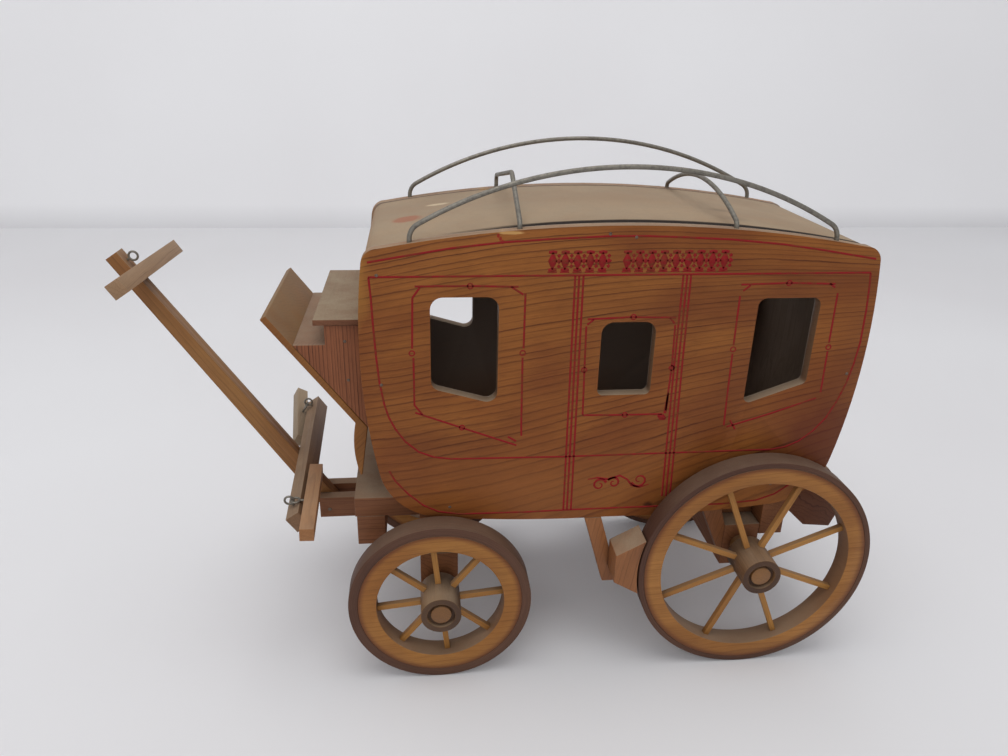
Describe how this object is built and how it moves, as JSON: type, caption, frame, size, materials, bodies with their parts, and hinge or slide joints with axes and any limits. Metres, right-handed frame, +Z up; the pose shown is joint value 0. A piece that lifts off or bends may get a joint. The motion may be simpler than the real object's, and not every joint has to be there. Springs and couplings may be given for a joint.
{
  "type": "toy wooden stagecoach",
  "caption": "Toy stagecoach of sawn wood: open-window coach body on spoked wheels, with wire roof rails, driver's boot, brake shoes and a raised drawbar with yoke and singletrees.",
  "frame": {"origin": "on the ground, in the coach's middle plane, below the middle of the door", "axes": "+X to the rear, +Y to the coach's right, +Z up; the tongue points to -X"},
  "size_m": [0.4688, 0.1992, 0.3234],
  "materials": {
    "panel_wood": "satin varnish",
    "body_wood": "satin stain, dusty on top",
    "roof_wood": "matte, dusty",
    "gear_wood": "satin stain",
    "tongue_wood": "satin varnish",
    "wheel_wood": "satin varnish",
    "tyre_wood": "matte, dark stained",
    "wire_steel": "dull wire"
  },
  "bodies": {
    "coach": {"side_panel_left": "panel_wood", "side_panel_right": "panel_wood", "roof": "roof_wood", "cabin_floor": "body_wood", "front_wall": "body_wood", "rear_wall": "body_wood", "boot_block": "body_wood", "seat_board": "body_wood", "footboard": "body_wood", "luggage_rail_left": "wire_steel", "luggage_rail_right": "wire_steel", "roof_hoop_front": "wire_steel", "roof_hoop_rear": "wire_steel", "perch": "gear_wood", "front_platform": "gear_wood", "front_transom": "gear_wood", "front_axle_block": "gear_wood", "front_bolster": "gear_wood", "rear_axle_block": "gear_wood", "rear_bolster": "gear_wood", "rear_stay": "gear_wood", "rear_brace_left": "gear_wood", "rear_brace_right": "gear_wood", "rear_boot": "body_wood", "brake_hanger_left": "gear_wood", "brake_hanger_right": "gear_wood", "brake_shoe_left": "gear_wood", "brake_shoe_right": "gear_wood", "front_axle": "wheel_wood", "rear_axle": "wheel_wood", "tongue_pin": "wire_steel", "rear_eye": "wire_steel"},
    "front_wheel_left": {"front_tyre_left": "tyre_wood", "front_rim_left": "wheel_wood", "front_hub_left": "wheel_wood"},
    "front_wheel_right": {"front_tyre_right": "tyre_wood", "front_rim_right": "wheel_wood", "front_hub_right": "wheel_wood"},
    "rear_wheel_left": {"rear_tyre_left": "tyre_wood", "rear_rim_left": "wheel_wood", "rear_hub_left": "wheel_wood"},
    "rear_wheel_right": {"rear_tyre_right": "tyre_wood", "rear_rim_right": "wheel_wood", "rear_hub_right": "wheel_wood"},
    "drawbar": {"tongue": "tongue_wood", "tongue_eye": "wire_steel", "yoke_pin": "wire_steel", "doubletree_pin": "wire_steel"},
    "yoke_bar": {"yoke": "tongue_wood"},
    "doubletree_bar": {"doubletree": "tongue_wood", "doubletree_eyes": "wire_steel"},
    "singletree_bar_left": {"singletree_left": "tongue_wood", "singletree_eye_left": "wire_steel"},
    "singletree_bar_right": {"singletree_right": "tongue_wood", "singletree_eye_right": "wire_steel"}
  },
  "joints": [
    {"name": "front_wheel_left_spin", "type": "hinge", "parent": "coach", "child": "front_wheel_left", "pos_m": [-0.1106, -0.0772, 0.057], "axis": [0, 1, 0], "continuous": true},
    {"name": "front_wheel_right_spin", "type": "hinge", "parent": "coach", "child": "front_wheel_right", "pos_m": [-0.1106, 0.0772, 0.057], "axis": [0, 1, 0], "continuous": true},
    {"name": "rear_wheel_left_spin", "type": "hinge", "parent": "coach", "child": "rear_wheel_left", "pos_m": [0.0899, -0.0803, 0.0762], "axis": [0, 1, 0], "continuous": true},
    {"name": "rear_wheel_right_spin", "type": "hinge", "parent": "coach", "child": "rear_wheel_right", "pos_m": [0.0899, 0.0803, 0.0762], "axis": [0, 1, 0], "continuous": true},
    {"name": "tongue_raise", "type": "hinge", "parent": "coach", "child": "drawbar", "pos_m": [-0.1835, 0, 0.085], "axis": [0, 1, 0], "range_deg": [-76, 10]},
    {"name": "yoke_turn", "type": "hinge", "parent": "drawbar", "child": "yoke_bar", "pos_m": [-0.28655, 0, 0.24824], "axis": [0.8339, 0, 0.5519], "range_deg": [-18, 22]},
    {"name": "doubletree_turn", "type": "hinge", "parent": "drawbar", "child": "doubletree_bar", "pos_m": [-0.19949, 0, 0.11939], "axis": [0.8339, 0, 0.5519], "range_deg": [-20, 20]},
    {"name": "singletree_left_swing", "type": "hinge", "parent": "doubletree_bar", "child": "singletree_bar_left", "pos_m": [-0.1994, -0.06801, 0.12758], "axis": [0.027, -0.9988, -0.0407], "range_deg": [0, 178]},
    {"name": "singletree_right_swing", "type": "hinge", "parent": "doubletree_bar", "child": "singletree_bar_right", "pos_m": [-0.20283, 0.05904, 0.13276], "axis": [0.027, -0.9988, -0.0407], "range_deg": [-195, 0]}
  ]
}
